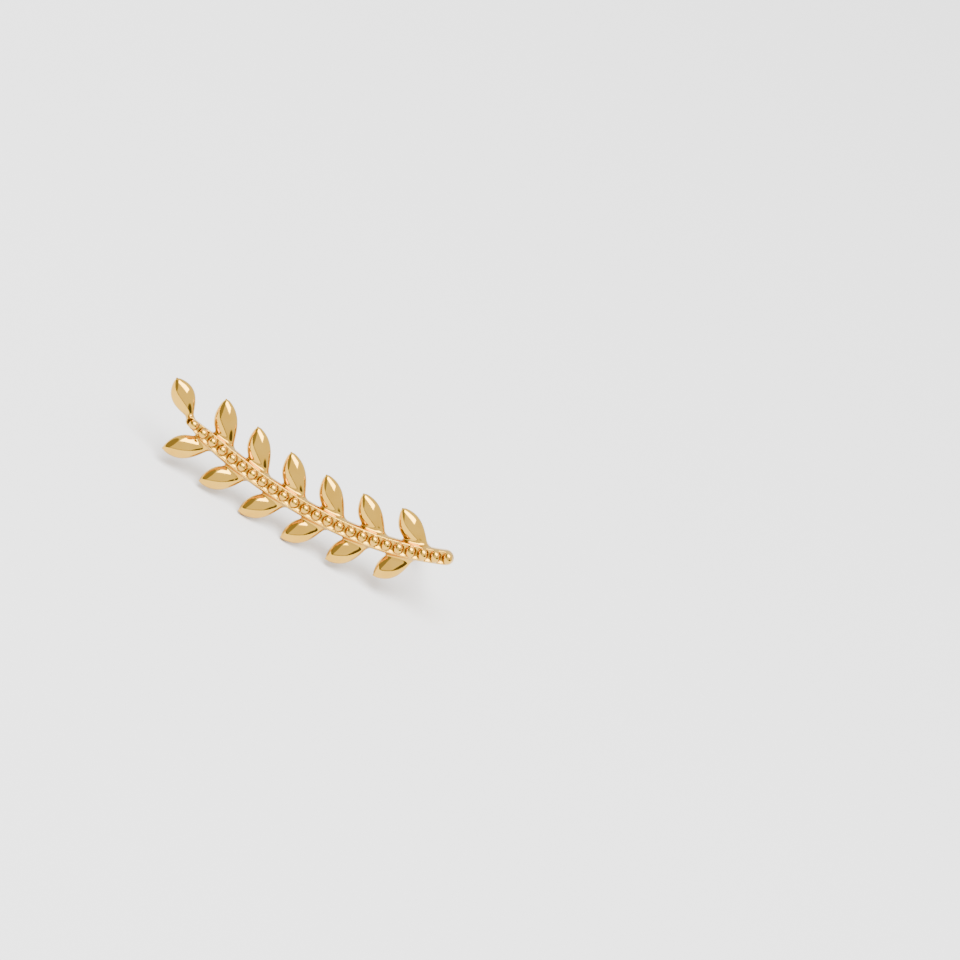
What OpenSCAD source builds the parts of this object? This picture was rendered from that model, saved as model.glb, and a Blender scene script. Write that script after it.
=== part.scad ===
// Ear climber: a laurel branch cast in one, with a row of beads along its stem, and the post
// behind its plain end. All sizes are in mm. It stands as it comes to rest on a table: on the
// tips of two lower leaves and the round end of the post, with its face toward -Y.

/* [Bead row] */
// length of the row, from the middle of the first bead to the middle of the last
row_l = 19.1; // [16:0.1:22]
// how far the row turns over its length, in degrees, the even part of the turn
turn_even = 20.5; // [10:0.2:28]
// and the part of the turn that gathers toward the plain end
turn_late = 15.6; // [5:0.2:22]
// number of beads
bead_n = 24; // [20:1:25]
// bead diameter
bead_d = 0.66; // [0.5:0.01:0.72]
// how far a bead stands above the rails beside it
bead_rise = 0.27; // [0.15:0.01:0.33]

/* [Stem] */
// width of the stem at its back
stem_w = 1.15; // [0.95:0.01:1.3]
// height of the two rails above the back
stem_h = 0.95; // [0.75:0.01:1.2]
// height of the upright part of the sides
side_h = 0.3; // [0.15:0.01:0.45]
// width of the channel between the rails
channel_w = 0.74; // [0.6:0.01:0.8]
// depth of the channel
channel_d = 0.14; // [0.05:0.01:0.2]
// width of the stem where it starts under the tip leaf, as a share of its full width
neck = 0.56; // [0.45:0.01:0.8]
// width of the stem at its plain end, as a share of its full width
plain = 0.9; // [0.8:0.01:1]
// bare stem past the last bead
end_l = 0.47; // [0.35:0.01:0.7]

/* [Leaves] */
// length of an upper leaf, from the bead row to its point
upper_l = 3.98; // [3.4:0.02:4.3]
// length of a lower leaf
lower_l = 3.78; // [3.3:0.02:4.1]
// length of the leaf at the tip
tip_l = 3.24; // [2.8:0.02:3.7]
// how much shorter the last leaf of a side is than its first, as a share
leaf_shrink = 0.07; // [0:0.01:0.12]
// width of a leaf
leaf_w = 1.55; // [1.3:0.01:1.7]
// height of a leaf's dome above its edge
leaf_h = 0.62; // [0.4:0.01:0.8]
// thickness of a leaf at its edge
leaf_edge = 0.14; // [0.08:0.01:0.22]
// angle between an upper leaf and the stem
upper_lean = 45; // [40:0.5:50]
// how much the upper leaves open away from the stem along the row
upper_open = 3.5; // [0:0.5:6]
// angle between a lower leaf and the stem
lower_lean = 41.5; // [38:0.5:46]
// how much the lower leaves close toward the stem along the row
lower_close = 4.5; // [0:0.5:8]
// angle between the tip leaf and the stem
tip_lean = 27; // [18:0.5:32]
// how far the middle of an upper leaf bows toward the tip, as a share of its length
upper_bow = 0.055; // [0:0.005:0.07]
// and that of a lower leaf
lower_bow = 0.025; // [0:0.005:0.05]

/* [Ear post] */
// post diameter
post_d = 0.8; // [0.7:0.01:0.9]
// length of the post behind the branch
post_l = 9; // [8:0.1:10]
// where the post stands along the bead row
post_at = 0.94; // [0.9:0.005:0.96]
// diameter of the post's foot where it enters its seat in the back
foot_d = 0.68; // [0.6:0.01:0.7]
// and at the floor of the seat, since the foot tapers
foot_tip_d = 0.5; // [0.4:0.01:0.58]
// depth of the seat
seat_depth = 0.3; // [0.2:0.01:0.4]
// gap between the post and its seat, all round, and under its shoulder
seat_gap = 0.02; // [0.01:0.005:0.04]

/* [Hidden] */

leaf_n = 6;             // leaves on each side
upper_from = 0.179;     // where the first upper leaf leaves the row, as a share of the row
upper_step = 0.1535;    // and the share from one to the next
lower_from = 0.12;
lower_step = 0.158;
root_taper = 1.5;       // how slowly a leaf widens from its root
point_taper = 0.97;     // and narrows to its point
fullness = 0.62;        // how early a leaf's dome reaches its height
upper_back = 0.05;      // the backs of the leaves lie this far in front of the back of the stem
lower_back = 0.08;
web_r = 0.1;            // round of the fillet webs in the corners between leaf and stem
web_back = 0.11;        // and where they begin and end above the back of the stem
web_top = 0.36;
stem_rings = 36;

gold = [0.86, 0.68, 0.36];
steel_gold = [0.8, 0.64, 0.38];

// The row of beads, seen from the front: it starts at the tip and runs along +X.
function heading(s) = turn_even * s + turn_late * s * s;
steps = 24;
function total(list, i = 0) = i == len(list) - 1 ? list[i] : list[i] + total(list, i + 1);
function row(s) = total([for (i = [0:steps - 1]) let(a = heading(s * (i + 0.5) / steps))
    s / steps * row_l * [cos(a), sin(a)]]);
function flat(p, z = 0) = [p[0], p[1], z];
function beside(s, off) = row(s) + off * [-sin(heading(s)), cos(heading(s))];

// Skins: rings of points, one after another, closed at both ends.
function ring_faces(rings, n) = concat(
    [[for (i = [0:n - 1]) n - 1 - i]],
    [for (r = [0:rings - 2], i = [0:n - 1]) let(a = r * n + i, b = r * n + (i + 1) % n)
        [a, b, b + n]],
    [for (r = [0:rings - 2], i = [0:n - 1]) let(a = r * n + i, b = r * n + (i + 1) % n)
        [a, b + n, a + n]],
    [[for (i = [0:n - 1]) (rings - 1) * n + i]]);
function joined(rings) = [for (r = rings, p = r) p];

// Stem: half of its section from the middle of the channel to the back edge.
fall = 4;
function half_section(w, h) = let(cw = min(channel_w, w * 0.8) / 2, k = h / stem_h) concat(
    [[0, h - channel_d * k], [cw * 0.72, h - channel_d * 0.7 * k]],
    [for (i = [0:fall]) let(a = 90 - i * 90 / fall)
        [cw + (w / 2 - cw) * cos(a), side_h * k + (h - side_h * k) * sin(a)]],
    [[w / 2, 0]]);
function section(w, h) = let(a = half_section(w, h), n = len(a)) concat(
    [for (i = [n - 1:-1:1]) [-a[i][0], a[i][1]]], a);
neck_s = -0.03;
grown_s = 0.14;
slim_s = 0.8;
end_s = 1 + end_l / row_l;
cap_s = stem_w * plain * 0.48 / row_l;
start_s = stem_w * neck * 0.4 / row_l;
function ease(u) = let(v = max(0, min(1, u))) v * v * (3 - 2 * v);
function rounded(u) = sqrt(max(0.09, 1 - u * u));
function girth(s) = (neck + (1 - neck) * ease((s - neck_s) / (grown_s - neck_s)))
    * (1 - (1 - plain) * ease((s - slim_s) / (1 - slim_s)))
    * rounded(max(0, (s - end_s + cap_s) / cap_s)) * rounded(max(0, (neck_s + start_s - s) / start_s));
stem_stops = concat([for (a = [90, 64, 32]) neck_s + start_s - start_s * sin(a)],
    [for (i = [0:stem_rings])
        neck_s + start_s + (end_s - cap_s - neck_s - start_s) * i / stem_rings],
    [for (a = [22, 42, 60, 76, 90]) end_s - cap_s + cap_s * sin(a)]);
stem_n = len(section(1, 1));
stem_pts = joined([for (s = stem_stops) let(g = girth(s), c = heading(s))
    [for (q = section(stem_w * g, stem_h * (0.45 + 0.55 * g)))
        flat(row(s) + q[0] * [-sin(c), cos(c)], q[1])]]);

// Leaf: half width along it, 1 at its widest.
peak = root_taper / (root_taper + point_taper);
function plump(t) = pow(t / peak, root_taper) * pow((1 - t) / (1 - peak), point_taper);
leaf_stops = [0.14, 0.24, 0.34, 0.44, 0.54, 0.64, 0.74, 0.83, 0.9, 0.955, 0.988];
arch = 8;
function leaf_ring(t, l, w, bow, back) = let(p = plump(t), mid = bow * l * 4 * t * (1 - t))
    concat([for (i = [0:arch]) let(a = i * 180 / arch) [t * l, mid - w / 2 * p * cos(a),
        back + leaf_edge + leaf_h * pow(p, fullness) * sin(a)]],
    [[t * l, mid + w / 2 * p, back], [t * l, mid - w / 2 * p, back]]);
function set_at(p, at, a) = [at[0] + p[0] * cos(a) - p[1] * sin(a),
    at[1] + p[0] * sin(a) + p[1] * cos(a), p[2]];
function leaf_pts(s, a, l, bow, back) = [for (t = leaf_stops,
    p = leaf_ring(t, l, leaf_w, bow, back)) set_at(p, row(s), a)];

// Each leaf: where it leaves the row, which way it points, its length, its bow and its back.
function late(i) = pow(i / (leaf_n - 1), 2);
function upper_leaf(i) = let(s = upper_from + upper_step * i)
    [s, heading(s) + 180 - upper_lean - upper_open * late(i), upper_l * (1 - leaf_shrink * late(i)),
        upper_bow, upper_back];
function lower_leaf(i) = let(s = lower_from + lower_step * i)
    [s, heading(s) + 180 + lower_lean - lower_close * late(i), lower_l * (1 - leaf_shrink * late(i)),
        -lower_bow, lower_back];
tip_leaf = [0, 180 - tip_lean, tip_l, 0, upper_back];
leaves = concat([tip_leaf], [for (i = [0:leaf_n - 1]) upper_leaf(i)],
    [for (i = [0:leaf_n - 1]) lower_leaf(i)]);
function skin_of(leaf) = leaf_pts(leaf[0], leaf[1], leaf[2], leaf[3], leaf[4]);
function bead_at(i) = flat(row(i / (bead_n - 1)), stem_h + bead_rise - bead_d / 2);

// Post: its foot in the seat, its shoulder just behind the back, and the middle of its round end.
post_foot = flat(row(post_at), seat_depth - seat_gap);
post_shoulder = flat(row(post_at), -seat_gap);
post_knob = flat(row(post_at), post_d / 2 - post_l);

// Balance point, from the rough volumes of stem, leaves and post.
leaf_v = 0.52 * leaf_w * (leaf_edge + 0.75 * leaf_h);
stem_v = 0.95 * stem_w * stem_h / 24;
post_v = PI / 4 * post_d * post_d * post_l;
balance = (total([for (of = leaves) leaf_v * of[2] * set_at([0.56 * of[2], 0, leaf_edge + 0.4 * leaf_h],
    row(of[0]), of[1])])
    + total([for (i = [0:23]) stem_v * row_l * flat(row((i + 0.5) / 24), stem_h / 2)])
    + post_v * flat(row(post_at), -post_l / 2))
    / (total([for (of = leaves) leaf_v * of[2]]) + 24 * stem_v * row_l + post_v);

// Rest: the way down is square to the line over two neighbouring leaf points and touches the
// round end of the post. Of all such pairs it lies on the one where its balance point is lowest.
function unit(v) = v / norm(v);
function down_for(a, b) = let(e = unit(b - a), w = (post_knob - a) - ((post_knob - a) * e) * e,
    d = norm(w), u = w / d, v = cross(e, u), c = -post_d / 2 / d)
    c * u - sqrt(1 - c * c) * v;
function deepest(pts, n) = let(depth = [for (p = pts) p * n], m = max(depth))
    pts[search(m, depth)[0]];
lower_pts = [for (i = [0:leaf_n - 1]) skin_of(lower_leaf(i))];
points_of_lower = [for (pts = lower_pts) pts[len(pts) - 1]];
function balance_height(i) = let(n = down_for(points_of_lower[i], points_of_lower[i + 1]))
    (points_of_lower[i] - balance) * n;
heights = [for (i = [0:leaf_n - 2]) balance_height(i)];
first = search(min(heights), heights)[0];
down_guess = down_for(points_of_lower[first], points_of_lower[first + 1]);
rest_a = deepest(lower_pts[first], down_guess);
rest_b = deepest(lower_pts[first + 1], down_guess);
down = down_for(rest_a, rest_b);
axis_x = unit(rest_b - rest_a);
axis_z = -down;
axis_y = cross(axis_z, axis_x);
all_pts = concat(stem_pts, [for (leaf = leaves, p = skin_of(leaf)) p]);
function reach(a) = [min(concat([for (p = all_pts) p * a], [for (i = [0:bead_n - 1])
    bead_at(i) * a - bead_d / 2], [post_knob * a - post_d / 2])),
    max(concat([for (p = all_pts) p * a], [for (i = [0:bead_n - 1])
    bead_at(i) * a + bead_d / 2], [post_knob * a + post_d / 2]))];
span_x = reach(axis_x);
span_y = reach(axis_y);
span_z = reach(axis_z);
shift = [-(span_x[0] + span_x[1]) / 2, -(span_y[0] + span_y[1]) / 2, -span_z[0]];
stand = [[axis_x[0], axis_x[1], axis_x[2], shift[0]], [axis_y[0], axis_y[1], axis_y[2], shift[1]],
    [axis_z[0], axis_z[1], axis_z[2], shift[2]], [0, 0, 0, 1]];

module at_rest() {
    multmatrix(stand) children();
}

module stem() {
    polyhedron(points = stem_pts, faces = ring_faces(len(stem_stops), stem_n), convexity = 6);
}

module leaf(of) {
    polyhedron(points = skin_of(of), faces = ring_faces(len(leaf_stops), arch + 3), convexity = 4);
}

module bead(i) {
    translate(bead_at(i)) sphere(d = bead_d, $fn = 48);
}

// Fillet web in the corner where a leaf meets the stem, on its side toward the tip.
module web(of, side) {
    s = of[0];
    t = 0.36;
    from_leaf = set_at([t * of[2], side * leaf_w * 0.38 * plump(t), 0], row(s), of[1]);
    from_stem = beside(s - 1.2 * stem_w / row_l, side * (stem_w / 2 - web_r));
    translate([0, 0, web_back]) linear_extrude(web_top - web_back)
        polygon([[from_leaf[0], from_leaf[1]], from_stem, row(s)]);
}

module branch() {
    color(gold) at_rest() difference() {
        union() {
            stem();
            for (of = leaves) leaf(of);
            for (i = [0:leaf_n - 1]) {
                web(upper_leaf(i), 1);
                web(lower_leaf(i), -1);
            }
            for (i = [0:bead_n - 1]) bead(i);
        }
        translate(flat(row(post_at), -seat_depth))
            cylinder(h = 2 * seat_depth, d1 = 2 * foot_d - foot_tip_d + 2 * seat_gap,
                d2 = foot_tip_d + 2 * seat_gap, $fn = 48);
    }
}

module ear_post() {
    color(steel_gold) at_rest() union() {
        translate(post_shoulder)
            cylinder(h = post_foot[2] - post_shoulder[2], d1 = foot_d, d2 = foot_tip_d, $fn = 48);
        translate(post_knob) cylinder(h = post_shoulder[2] - post_knob[2], d = post_d, $fn = 48);
        translate(post_knob) sphere(d = post_d, $fn = 48);
    }
}

branch();
ear_post();
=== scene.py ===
import math

import bpy
import numpy as np
from mathutils import Matrix, Vector


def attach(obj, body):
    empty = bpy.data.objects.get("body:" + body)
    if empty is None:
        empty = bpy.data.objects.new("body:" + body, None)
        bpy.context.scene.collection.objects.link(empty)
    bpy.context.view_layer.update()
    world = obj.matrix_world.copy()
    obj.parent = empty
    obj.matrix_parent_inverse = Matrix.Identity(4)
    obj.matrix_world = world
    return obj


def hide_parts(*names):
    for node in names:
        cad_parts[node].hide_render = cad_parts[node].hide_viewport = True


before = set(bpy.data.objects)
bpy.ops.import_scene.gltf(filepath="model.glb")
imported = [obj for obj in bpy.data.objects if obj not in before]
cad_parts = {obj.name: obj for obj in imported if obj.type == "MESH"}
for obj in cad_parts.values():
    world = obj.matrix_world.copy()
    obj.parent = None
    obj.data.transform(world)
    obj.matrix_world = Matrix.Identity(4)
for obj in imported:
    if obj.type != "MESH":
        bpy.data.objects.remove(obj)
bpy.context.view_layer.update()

# ---------------------------------------------------------------- sizes of the piece, in mm
ROW_L, TURN_EVEN, TURN_LATE = 19.1, 20.5, 15.6
BEAD_N, BEAD_D, BEAD_RISE = 24, 0.66, 0.27
STEM_W, STEM_H, SIDE_H = 1.15, 0.95, 0.3
CHANNEL_W, CHANNEL_D = 0.74, 0.14
NECK, PLAIN, END_L = 0.56, 0.9, 0.47
NECK_S, GROWN_S, SLIM_S = -0.03, 0.14, 0.8
UPPER_L, LOWER_L, TIP_L, LEAF_SHRINK = 3.98, 3.78, 3.24, 0.07
LEAF_W, LEAF_H, LEAF_EDGE = 1.55, 0.54, 0.14
UPPER_LEAN, UPPER_OPEN, LOWER_LEAN, LOWER_CLOSE, TIP_LEAN = 45, 3.5, 41.5, 4.5, 27
UPPER_BOW, LOWER_BOW, UPPER_BACK, LOWER_BACK = 0.055, 0.025, 0.05, 0.08
LEAF_N, UPPER_FROM, UPPER_STEP, LOWER_FROM, LOWER_STEP = 6, 0.179, 0.1535, 0.12, 0.158
ROOT_TAPER, POINT_TAPER, FULLNESS = 1.5, 0.97, 0.62
POST_D, POST_L, POST_AT = 0.8, 9.0, 0.94

# how the branch stands on the table: its own frame turned and moved into the row frame, in mm
STAND = np.array([[0.980412, 0.196958, 0.0, -8.3419],
                  [-0.0787396, 0.391947, -0.916612, -3.40076],
                  [-0.180534, 0.898657, 0.399778, 3.0296]])

NET_PITCH = 0.056   # spacing of the casting's surface points
LEAF_FILLET, BEAD_FILLET, EDGE_ROUND = 0.30, 0.05, 0.05
ROUND_FROM, ROUND_END = 0.94, 0.97          # shares of a leaf's length where its point rounds over
BARREL_FROM, BARREL_WIDER = 0.55, 0.22      # the last beads widen across the stem by this share
CASTING_END, CASTING_TOP = 19.6, 1.35       # the surface net reaches this far along and over it
RECESS_REACH = 0.13                         # how far round a point the painted recess shade looks for metal
SOLDER, SOLDER_RISE, POST_BITE = 0.1, 0.16, 0.03


# ---------------------------------------------------------------- the bead row
def heading(s):
    """Way the row points at the share s of its length, in radians."""
    return np.radians(TURN_EVEN * s + TURN_LATE * s * s)


ROW_S = np.linspace(-0.3, 1.3, 1601)
STEP = ROW_S[1] - ROW_S[0]
MID = heading((ROW_S[1:] + ROW_S[:-1]) / 2)
ROW_X = np.concatenate([[0], np.cumsum(np.cos(MID))]) * STEP * ROW_L
ROW_Y = np.concatenate([[0], np.cumsum(np.sin(MID))]) * STEP * ROW_L
ROW_X -= np.interp(0, ROW_S, ROW_X)
ROW_Y -= np.interp(0, ROW_S, ROW_Y)


def row_point(s):
    return np.interp(s, ROW_S, ROW_X), np.interp(s, ROW_S, ROW_Y)


def along_row(x, y):
    """Nearest share of the row, and the distance to its left."""
    s = np.interp(x, ROW_X, ROW_S)
    for _ in range(4):
        px, py = row_point(s)
        a = heading(s)
        s = np.clip(s + ((x - px) * np.cos(a) + (y - py) * np.sin(a)) / ROW_L, -0.29, 1.29)
    px, py = row_point(s)
    a = heading(s)
    return s, (y - py) * np.cos(a) - (x - px) * np.sin(a)


# ---------------------------------------------------------------- soft joins of two forms
def melt(a, b, k):
    """Both forms in one, with a fillet of about k between them."""
    h = np.clip(0.5 + 0.5 * (b - a) / k, 0, 1)
    return b + (a - b) * h - k * h * (1 - h)


def trim(a, b, k):
    """What both forms share, with the edge between them rounded by about k."""
    return -melt(-a, -b, k)


def dome(across, over, half, rise):
    """Distance to an arch of this half width and rise, upright below its springing."""
    a = across / half
    b = np.maximum(over, 0) / rise
    r = np.sqrt(a * a + b * b) + 1e-9
    slope = np.sqrt((a / half) ** 2 + (b / rise) ** 2) / r + 1e-9
    return (r - 1) / slope


def ease(u):
    v = np.clip(u, 0, 1)
    return v * v * (3 - 2 * v)


# ---------------------------------------------------------------- stem, beads and leaves
def girth(s):
    """Share of the stem's full width there: slim at the tip leaf and a little at the plain end."""
    return ((NECK + (1 - NECK) * ease((s - NECK_S) / (GROWN_S - NECK_S)))
            * (1 - (1 - PLAIN) * ease((s - SLIM_S) / (1 - SLIM_S))))


def stem_form(x, y, z):
    s, q = along_row(x, y)
    g = girth(s)
    half, top = STEM_W * g / 2, STEM_H * (0.45 + 0.55 * g)
    start = NECK_S + STEM_W * NECK * 0.5 / ROW_L
    end = 1 + (END_L - STEM_W * PLAIN * 0.5) / ROW_L
    past = np.maximum(np.maximum(s - end, start - s), 0) * ROW_L
    r = np.sqrt(q * q + past * past)
    rail = np.minimum(CHANNEL_W, STEM_W * g * 0.8) / 2
    springing = SIDE_H * top / STEM_H
    skin = dome(np.maximum(r - rail, 0), z - springing, half - rail, top - springing)
    channel = dome(r, np.abs(z - top), rail, CHANNEL_D * top / STEM_H)
    skin = trim(skin, -channel, 0.05)
    return trim(skin, -z, EDGE_ROUND)


def bead_form(x, y, z):
    s, _ = along_row(x, y)
    i = np.clip(np.round(s * (BEAD_N - 1)), 0, BEAD_N - 1)
    bead_s = i / (BEAD_N - 1)
    bx, by = row_point(bead_s)
    a = heading(bead_s)
    along = (x - bx) * np.cos(a) + (y - by) * np.sin(a)
    across = (y - by) * np.cos(a) - (x - bx) * np.sin(a)
    barrel = 1 + BARREL_WIDER * ease((bead_s - BARREL_FROM) / 0.4)
    over = z - (STEM_H + BEAD_RISE - BEAD_D / 2)
    return np.sqrt(along ** 2 + (across / barrel) ** 2 + over ** 2) - BEAD_D / 2


PEAK = ROOT_TAPER / (ROOT_TAPER + POINT_TAPER)


def plump(t):
    u = np.minimum(t, ROUND_FROM)
    p = (u / PEAK) ** ROOT_TAPER * ((1 - u) / (1 - PEAK)) ** POINT_TAPER
    return p * np.sqrt(np.clip((ROUND_END - t) / (ROUND_END - ROUND_FROM), 0, 1))


def late(i):
    return (i / (LEAF_N - 1)) ** 2


def leaves():
    """Each leaf: share of the row, direction in degrees, length, bow and back."""
    out = [(0.0, 180 - TIP_LEAN, TIP_L, 0.0, UPPER_BACK)]
    for i in range(LEAF_N):
        s, size = UPPER_FROM + UPPER_STEP * i, 1 - LEAF_SHRINK * late(i)
        turn = math.degrees(heading(s)) + 180 - UPPER_LEAN - UPPER_OPEN * late(i)
        out.append((s, turn, UPPER_L * size, UPPER_BOW, UPPER_BACK))
        s = LOWER_FROM + LOWER_STEP * i
        turn = math.degrees(heading(s)) + 180 + LOWER_LEAN - LOWER_CLOSE * late(i)
        out.append((s, turn, LOWER_L * size, -LOWER_BOW, LOWER_BACK))
    return out


LEAVES = leaves()


def leaf_form(x, y, z, leaf):
    s, turn, length, bow, back = leaf
    ox, oy = row_point(s)
    a = math.radians(turn)
    u = (x - ox) * math.cos(a) + (y - oy) * math.sin(a)
    v = (y - oy) * math.cos(a) - (x - ox) * math.sin(a)
    last = ROUND_END - 0.003
    t = np.clip(u / length, 0.06, last)
    past = np.maximum(u - last * length, 0) + np.maximum(0.06 * length - u, 0)
    p = plump(t)
    across = np.sqrt((v - bow * length * 4 * t * (1 - t)) ** 2 + past ** 2)
    skin = dome(across, z - back - LEAF_EDGE, LEAF_W / 2 * p, LEAF_H * p ** FULLNESS)
    return trim(skin, back - z, EDGE_ROUND)


def leaf_reach(leaf, margin=0.5):
    s, turn, length, _, _ = leaf
    ox, oy = row_point(s)
    a = math.radians(turn)
    tx, ty = ox + length * math.cos(a), oy + length * math.sin(a)
    w = LEAF_W / 2 * 1.15 + margin
    return (min(ox, tx) - w, max(ox, tx) + w, min(oy, ty) - w, max(oy, ty) + w)


REACH = [leaf_reach(leaf) for leaf in LEAVES]


def casting_form(x, y, z):
    """Distance to the whole casting, less than nothing inside the metal."""
    near = np.full(x.shape, 9.0)
    for leaf, (x0, x1, y0, y1) in zip(LEAVES, REACH):
        at = (x > x0) & (x < x1) & (y > y0) & (y < y1)
        near[at] = np.minimum(near[at], leaf_form(x[at], y[at], z[at], leaf))
    d = melt(stem_form(x, y, z), near, LEAF_FILLET)
    d = melt(d, bead_form(x, y, z), BEAD_FILLET)
    return trim(d, -z, EDGE_ROUND)


# ---------------------------------------------------------------- skin over the form
def slope_of(x, y, z, e=0.004):
    f = casting_form
    return np.stack([f(x + e, y, z) - f(x - e, y, z), f(x, y + e, z) - f(x, y - e, z),
                     f(x, y, z + e) - f(x, y, z - e)], 1) / (2 * e)


def cast_skin(pitch):
    """Points and four-sided faces of a closed net that is drawn onto the form's surface."""
    x0, x1 = min(r[0] for r in REACH) + 0.3, CASTING_END
    y0, y1 = min(r[2] for r in REACH) + 0.3, max(r[3] for r in REACH) - 0.3
    axes = [np.arange(a, b, pitch) for a, b in ((x0, x1), (y0, y1), (-2.3 * pitch, CASTING_TOP))]
    shape = tuple(len(a) for a in axes)
    grid = np.meshgrid(*axes, indexing="ij")
    d = casting_form(*[g.ravel() for g in grid]).reshape(shape)
    solid = d < 0
    corner = [solid[i:shape[0] - 1 + i, j:shape[1] - 1 + j, k:shape[2] - 1 + k]
              for i in (0, 1) for j in (0, 1) for k in (0, 1)]
    count = sum(c.astype(np.int8) for c in corner)
    cells = (count > 0) & (count < 8)
    number = np.full(cells.shape, -1, np.int64)
    number[cells] = np.arange(cells.sum())
    where = np.argwhere(cells)
    points = np.stack([axes[n][where[:, n]] + pitch / 2 for n in range(3)], 1)
    for _ in range(5):
        value = casting_form(*points.T)
        slope = slope_of(*points.T)
        step = value[:, None] * slope / np.maximum((slope ** 2).sum(1), 0.15)[:, None]
        size = np.linalg.norm(step, axis=1, keepdims=True)
        points = points - step * np.minimum(1, pitch / np.maximum(size, 1e-9))
    faces = []
    for n in range(3):
        a, b = [m for m in range(3) if m != n]
        lo = [slice(1, shape[m] - 1) for m in range(3)]
        hi = list(lo)
        lo[n], hi[n] = slice(0, shape[n] - 1), slice(1, shape[n])
        here, there = solid[tuple(lo)], solid[tuple(hi)]
        for out in (True, False):
            at = np.argwhere(here & ~there if out else ~here & there)
            at[:, a] += 1
            at[:, b] += 1
            ring = []
            for da, db in ((1, 1), (0, 1), (0, 0), (1, 0)):
                cell = at.copy()
                cell[:, a] -= da
                cell[:, b] -= db
                ring.append(number[tuple(cell.T)])
            if (n == 1) == out:
                ring.reverse()
            faces.append(np.stack(ring, 1))
    return points, np.concatenate(faces)


def recess_shade_of(points):
    """Mask of painted shade in hollows: how closely the metal stands around each point, 0 in the
    open, 1 far into a corner.
    """
    out = slope_of(*points.T)
    out /= np.maximum(np.linalg.norm(out, axis=1, keepdims=True), 1e-9)
    free = casting_form(*(points + out * RECESS_REACH).T) / RECESS_REACH
    close = np.clip(1.25 * (1 - free) - 0.1, 0, 1)
    _, q = along_row(points[:, 0], points[:, 1])
    rails = 0.65 * np.exp(-((np.abs(q) - 0.36) / 0.11) ** 2)
    return close * (1 - rails) * (1 - 0.55 * ease((np.abs(q) - 0.45) / 0.15))


def on_table(points):
    """Points of the branch's own frame, in mm, where it stands on the table, in metres."""
    return (np.asarray(points) @ STAND[:, :3].T + STAND[:, 3]) / 1000


def make_piece(name, points, faces, looks, look_of=None):
    mesh = bpy.data.meshes.new(name)
    mesh.from_pydata(on_table(points).tolist(), [], [tuple(map(int, f)) for f in faces])
    for look in looks:
        mesh.materials.append(look)
    mesh.polygons.foreach_set("use_smooth", np.ones(len(mesh.polygons), bool))
    if look_of is not None:
        mesh.polygons.foreach_set("material_index", look_of.astype(np.int32))
    mesh.update()
    piece = bpy.data.objects.new(name, mesh)
    bpy.context.scene.collection.objects.link(piece)
    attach(piece, "root")
    return piece


# ---------------------------------------------------------------- finishes
def from_hex(code):
    """sRGB hex to the linear colour that a shader takes."""
    parts = [int(code[i:i + 2], 16) / 255 for i in (1, 3, 5)]
    return tuple(c / 12.92 if c <= 0.04045 else ((c + 0.055) / 1.055) ** 2.4 for c in parts) + (1.0,)


def per_mm(size):
    """Texture scale for a feature of this size in mm."""
    return 1000.0 / size


def add(tree, kind, settings=None, **links):
    """Adds a node, sets its sockets and properties, and links other nodes' outputs to it."""
    node = tree.nodes.new(kind)
    for key, value in (settings or {}).items():
        if key in node.inputs:
            node.inputs[key].default_value = value
        else:
            setattr(node, key, value)
    for key, source in links.items():
        name = key.replace("_", " ")
        tree.links.new(source, node.inputs[name])
    return node


def new_finish(name):
    look = bpy.data.materials.new(name)
    look.use_nodes = True
    look.node_tree.nodes.clear()
    return look, look.node_tree


# Mirror-polished gold-plated brass: 18 carat yellow gold colour. The mop leaves the high places
# near mirror bright. Between the beads and in the roots of the leaves the gold is painted darker
# brown as shade, and made rougher where the mop doesn't reach. The surface swims very slightly, in
# waves of about a millimetre, as a hand-polished casting does.
def polished_gold_plate():
    look, t = new_finish("polished_gold_plate")
    place = add(t, "ShaderNodeTexCoord").outputs["Object"]
    swim = add(t, "ShaderNodeTexNoise", {"Scale": per_mm(1.1), "Detail": 2.0, "Roughness": 0.45},
               Vector=place)
    mop = add(t, "ShaderNodeTexNoise", {"Scale": per_mm(0.28), "Detail": 3.0, "Roughness": 0.6},
              Vector=place)
    tone = add(t, "ShaderNodeMapRange", {"From Min": 0.3, "From Max": 0.7}, Value=swim.outputs["Fac"])
    colour = add(t, "ShaderNodeMix", {"data_type": "RGBA"})
    colour.inputs[6].default_value = from_hex("#D6A43A")
    colour.inputs[7].default_value = from_hex("#DDAD44")
    t.links.new(tone.outputs["Result"], colour.inputs[0])
    # painted shade: the recess mask mixes the gold toward dark brown in hollows and makes it rougher
    # there
    recess_shade = add(t, "ShaderNodeAttribute", {"attribute_name": "recess_shade"}).outputs["Fac"]
    shade_mix = add(t, "ShaderNodeMix", {"data_type": "RGBA"})
    t.links.new(recess_shade, shade_mix.inputs[0])
    t.links.new(colour.outputs[2], shade_mix.inputs[6])
    # painted shade colour for the hollows
    shade_mix.inputs[7].default_value = from_hex("#84581A")
    gloss = add(t, "ShaderNodeMapRange",
                {"From Min": 0.25, "From Max": 0.75, "To Min": 0.05, "To Max": 0.11},
                Value=mop.outputs["Fac"])
    dull = add(t, "ShaderNodeMapRange", {"To Min": 0.0, "To Max": 0.2}, Value=recess_shade)
    total = add(t, "ShaderNodeMath", {"operation": "ADD"})
    t.links.new(gloss.outputs["Result"], total.inputs[0])
    t.links.new(dull.outputs["Result"], total.inputs[1])
    relief = add(t, "ShaderNodeBump", {"Strength": 0.35, "Distance": 0.000012},
                 Height=swim.outputs["Fac"])
    gold = add(t, "ShaderNodeBsdfPrincipled", {"Metallic": 1.0}, Base_Color=shade_mix.outputs[2],
               Roughness=total.outputs["Value"], Normal=relief.outputs["Normal"])
    add(t, "ShaderNodeOutputMaterial", Surface=gold.outputs["BSDF"])
    return look


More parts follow.
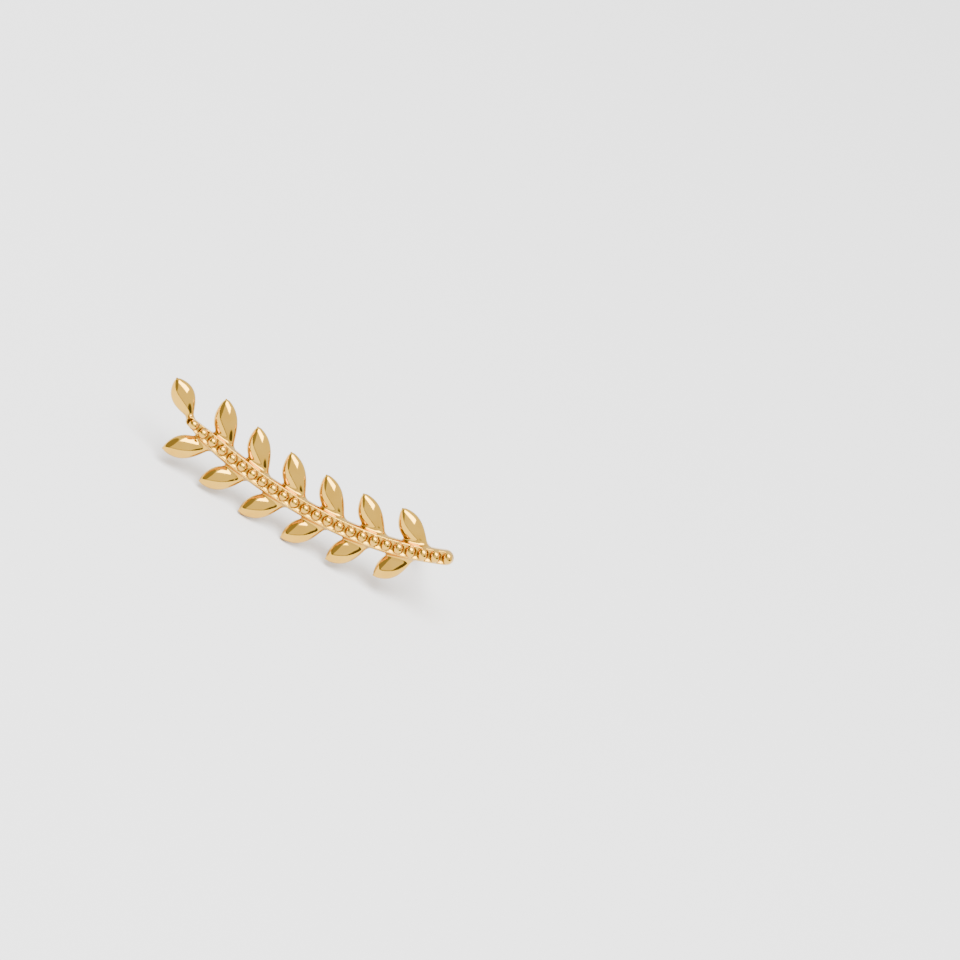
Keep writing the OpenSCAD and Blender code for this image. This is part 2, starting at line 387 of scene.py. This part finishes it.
# Satin gold-plated brass of the flat back: linished on a fine belt before plating, so it is the
# same gold with a soft sheen and a fine cross grain of about 0.05 mm.
def satin_gold_back():
    look, t = new_finish("satin_gold_back")
    place = add(t, "ShaderNodeTexCoord").outputs["Object"]
    belt = add(t, "ShaderNodeMapping", {"Scale": (1.0, 9.0, 9.0)}, Vector=place)
    grain = add(t, "ShaderNodeTexNoise", {"Scale": per_mm(0.5), "Detail": 4.0, "Roughness": 0.6},
                Vector=belt.outputs["Vector"])
    cloud = add(t, "ShaderNodeTexNoise", {"Scale": per_mm(1.8), "Detail": 2.0}, Vector=place)
    colour = add(t, "ShaderNodeMix", {"data_type": "RGBA"})
    colour.inputs[6].default_value = from_hex("#D09A36")
    colour.inputs[7].default_value = from_hex("#D8A440")
    t.links.new(cloud.outputs["Fac"], colour.inputs[0])
    gloss = add(t, "ShaderNodeMapRange",
                {"From Min": 0.3, "From Max": 0.7, "To Min": 0.24, "To Max": 0.36},
                Value=grain.outputs["Fac"])
    relief = add(t, "ShaderNodeBump", {"Strength": 0.4, "Distance": 0.000006},
                 Height=grain.outputs["Fac"])
    gold = add(t, "ShaderNodeBsdfPrincipled", {"Metallic": 1.0}, Base_Color=colour.outputs[2],
               Roughness=gloss.outputs["Result"], Normal=relief.outputs["Normal"])
    add(t, "ShaderNodeOutputMaterial", Surface=gold.outputs["BSDF"])
    return look


# Drawn gold-plated brass wire of the post: fine draw lines along it, a little less bright than
# the mopped casting.
def drawn_gold_wire():
    look, t = new_finish("drawn_gold_wire")
    place = add(t, "ShaderNodeTexCoord").outputs["Object"]
    lines = add(t, "ShaderNodeMapping", {"Scale": (8.0, 0.6, 8.0)}, Vector=place)
    draw = add(t, "ShaderNodeTexNoise", {"Scale": per_mm(0.6), "Detail": 4.0, "Roughness": 0.6},
               Vector=lines.outputs["Vector"])
    cloud = add(t, "ShaderNodeTexNoise", {"Scale": per_mm(1.5), "Detail": 2.0}, Vector=place)
    colour = add(t, "ShaderNodeMix", {"data_type": "RGBA"})
    colour.inputs[6].default_value = from_hex("#D69E38")
    colour.inputs[7].default_value = from_hex("#DEA842")
    t.links.new(cloud.outputs["Fac"], colour.inputs[0])
    gloss = add(t, "ShaderNodeMapRange",
                {"From Min": 0.3, "From Max": 0.7, "To Min": 0.10, "To Max": 0.2},
                Value=draw.outputs["Fac"])
    relief = add(t, "ShaderNodeBump", {"Strength": 0.3, "Distance": 0.000004},
                 Height=draw.outputs["Fac"])
    gold = add(t, "ShaderNodeBsdfPrincipled", {"Metallic": 1.0}, Base_Color=colour.outputs[2],
               Roughness=gloss.outputs["Result"], Normal=relief.outputs["Normal"])
    add(t, "ShaderNodeOutputMaterial", Surface=gold.outputs["BSDF"])
    return look


# Matt white laminate of the table: even, with a faint mottle.
def white_laminate():
    look, t = new_finish("white_laminate")
    place = add(t, "ShaderNodeTexCoord").outputs["Object"]
    mottle = add(t, "ShaderNodeTexNoise", {"Scale": per_mm(25), "Detail": 3.0}, Vector=place)
    colour = add(t, "ShaderNodeMix", {"data_type": "RGBA"})
    colour.inputs[6].default_value = from_hex("#E6E6E6")
    colour.inputs[7].default_value = from_hex("#E9E9E9")
    t.links.new(mottle.outputs["Fac"], colour.inputs[0])
    board = add(t, "ShaderNodeBsdfPrincipled", {"Roughness": 0.75, "IOR": 1.5},
                Base_Color=colour.outputs[2])
    add(t, "ShaderNodeOutputMaterial", Surface=board.outputs["BSDF"])
    return look


# ---------------------------------------------------------------- the pieces
def laurel_casting():
    """The branch in one piece, polished all over but for its satin back."""
    points, faces = cast_skin(NET_PITCH)
    level = points[faces][:, :, 2].max(1)
    back = (level < 0.5 * EDGE_ROUND).astype(np.int32)
    piece = make_piece("laurel_casting", points, faces,
                       [polished_gold_plate(), satin_gold_back()], back)
    # painted shade: each point's recess mask, which darkens the gold in hollows
    recess_shade = piece.data.attributes.new("recess_shade", "FLOAT", "POINT")
    recess_shade.data.foreach_set("value", recess_shade_of(points).astype(np.float32))
    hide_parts("branch")
    return piece


def post_wire():
    """Straight round post with a half-round end, and the solder fillet at its foot."""
    r, knob = POST_D / 2, POST_D / 2 - POST_L
    profile = [(0.0, POST_BITE), (r + SOLDER, POST_BITE)]
    profile += [(r + SOLDER * (1 - math.sin(a)) ** 1.3, -SOLDER_RISE + SOLDER_RISE * math.cos(a))
                for a in np.radians([0, 15, 30, 45, 60, 75, 90])]
    profile += [(r, z) for z in np.linspace(-0.5, knob, 12)]
    profile += [(r * math.cos(a), knob - r * math.sin(a)) for a in np.radians(range(6, 90, 6))]
    cx, cy = row_point(POST_AT)
    turns, n = 72, len(profile)
    points, faces = [], []
    for p, z in profile[1:]:
        points += [(cx + p * math.cos(a), cy + p * math.sin(a), z)
                   for a in np.linspace(0, 2 * math.pi, turns, endpoint=False)]
    for k in range(n - 2):
        for j in range(turns):
            m = (j + 1) % turns
            faces.append((k * turns + j, (k + 1) * turns + j, (k + 1) * turns + m, k * turns + m))
    top, end = len(points), len(points) + 1
    points += [(cx, cy, POST_BITE), (cx, cy, knob - r)]
    for j in range(turns):
        m = (j + 1) % turns
        faces.append((top, j, m))
        faces.append((end, (n - 2) * turns + m, (n - 2) * turns + j))
    piece = make_piece("post_wire", points, faces, [drawn_gold_wire()])
    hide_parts("ear_post")
    return piece


# ---------------------------------------------------------------- camera, table and light
IMAGE_TURN = 43.2            # the row's start points this far below the picture's right
PIXEL = 0.0648               # mm of the piece for a pixel of the 960 pixel picture
FIRST_BEAD = (193.7, 424.9)  # where the first bead shows, in pixels
LOOK_FROM = (-0.10, 0.11)    # how far the camera stands off the face's axis: right and up
LENS, SENSOR = 200.0, 36.0
PICTURE = 960                # pixels across and down


def picture_axes():
    """Right, up and toward-the-camera directions of the picture, in the row frame."""
    a = math.radians(IMAGE_TURN)
    right = Vector((math.cos(a), math.sin(a), 0))
    up = Vector((-math.sin(a), math.cos(a), 0))
    out = (right * LOOK_FROM[0] + up * LOOK_FROM[1]
           + Vector((0, 0, math.sqrt(1 - LOOK_FROM[0] ** 2 - LOOK_FROM[1] ** 2))))
    side = (right - out * right.dot(out)).normalized()
    turn = Matrix([list(r) for r in STAND[:, :3]])
    return turn @ side, turn @ out.cross(side), turn @ out


def set_camera():
    side, up, out = picture_axes()
    first = Vector(on_table([[0, 0, STEM_H + BEAD_RISE - BEAD_D / 2]])[0])
    aim = (first + side * (PICTURE / 2 - FIRST_BEAD[0]) * PIXEL / 1000
           - up * (PICTURE / 2 - FIRST_BEAD[1]) * PIXEL / 1000)
    lens = bpy.data.cameras.new("camera")
    lens.sensor_width, lens.lens = SENSOR, LENS
    lens.clip_start, lens.clip_end = 0.01, 20
    camera = bpy.data.objects.new("camera", lens)
    bpy.context.scene.collection.objects.link(camera)
    away = PICTURE * PIXEL / 1000 * LENS / SENSOR
    camera.matrix_world = Matrix.Translation(aim + out * away) @ Matrix(
        [side, up, out]).transposed().to_4x4()
    bpy.context.scene.camera = camera
    return camera


def set_table():
    mesh = bpy.data.meshes.new("table")
    n, half = 24, 1.5
    grid = [(x, y, 0.0) for y in np.linspace(-half, half, n) for x in np.linspace(-half, half, n)]
    faces = [(j * n + i, j * n + i + 1, (j + 1) * n + i + 1, (j + 1) * n + i)
             for j in range(n - 1) for i in range(n - 1)]
    mesh.from_pydata(grid, [], faces)
    mesh.materials.append(white_laminate())
    table = bpy.data.objects.new("table", mesh)
    bpy.context.scene.collection.objects.link(table)
    return table


def softbox(name, toward, away, size, watts):
    """White soft light that stands in a direction from the piece and faces it."""
    way = Vector(toward).normalized()
    light = bpy.data.lights.new(name, "AREA")
    light.shape, light.size, light.size_y = "RECTANGLE", size[0], size[1]
    light.energy = watts
    lamp = bpy.data.objects.new(name, light)
    lamp.location = way * away
    lamp.rotation_mode = "QUATERNION"
    lamp.rotation_quaternion = way.to_track_quat("Z", "Y")
    bpy.context.scene.collection.objects.link(lamp)
    return lamp


def flag(t, way, bearing, height, reach, soft, left):
    """Share of the light left where a dark flag stands, seen from the piece; angles in degrees."""
    b, h = math.radians(bearing), math.radians(height)
    off = add(t, "ShaderNodeVectorMath", {"operation": "DOT_PRODUCT"})
    t.links.new(way, off.inputs[0])
    off.inputs[1].default_value = (math.sin(b) * math.cos(h), -math.cos(b) * math.cos(h),
                                   math.sin(h))
    return add(t, "ShaderNodeMapRange", {"interpolation_type": "SMOOTHSTEP",
                                         "From Min": math.cos(math.radians(reach + soft)),
                                         "From Max": math.cos(math.radians(reach)),
                                         "To Min": 1.0, "To Max": left},
               Value=off.outputs["Value"]).outputs["Result"]


def product(t, a, b):
    """Multiplies two node outputs."""
    n = add(t, "ShaderNodeMath", {"operation": "MULTIPLY"})
    t.links.new(a, n.inputs[0])
    t.links.new(b, n.inputs[1])
    return n.outputs["Value"]


def set_light():
    """One overhead softbox in a soft tent, a little darker at the horizon, with a wide dark flag at
    the left and a small one at the right that give the domes their dark places."""
    softbox("overhead", (-0.06, -0.3, 1.0), 0.5, (0.52, 0.36), 8.0)
    world = bpy.data.worlds.new("tent")
    bpy.context.scene.world = world
    world.use_nodes = True
    t = world.node_tree
    t.nodes.clear()
    way = add(t, "ShaderNodeTexCoord").outputs["Generated"]
    high = add(t, "ShaderNodeSeparateXYZ", Vector=way).outputs["Z"]
    glow = add(t, "ShaderNodeMapRange", {"interpolation_type": "SMOOTHSTEP", "From Min": 0.02,
                                         "From Max": 0.12, "To Min": 0.7, "To Max": 1.75},
               Value=high).outputs["Result"]
    glow = product(t, glow, flag(t, way, -76, 4, 42, 3, 0.3))
    glow = product(t, glow, flag(t, way, 52, 0, 22, 4, 0.1))
    light = add(t, "ShaderNodeBackground", {"Color": (1, 1, 1, 1)}, Strength=glow)
    add(t, "ShaderNodeOutputWorld", Surface=light.outputs["Background"])


set_camera()
set_table()
set_light()
laurel_casting()
post_wire()
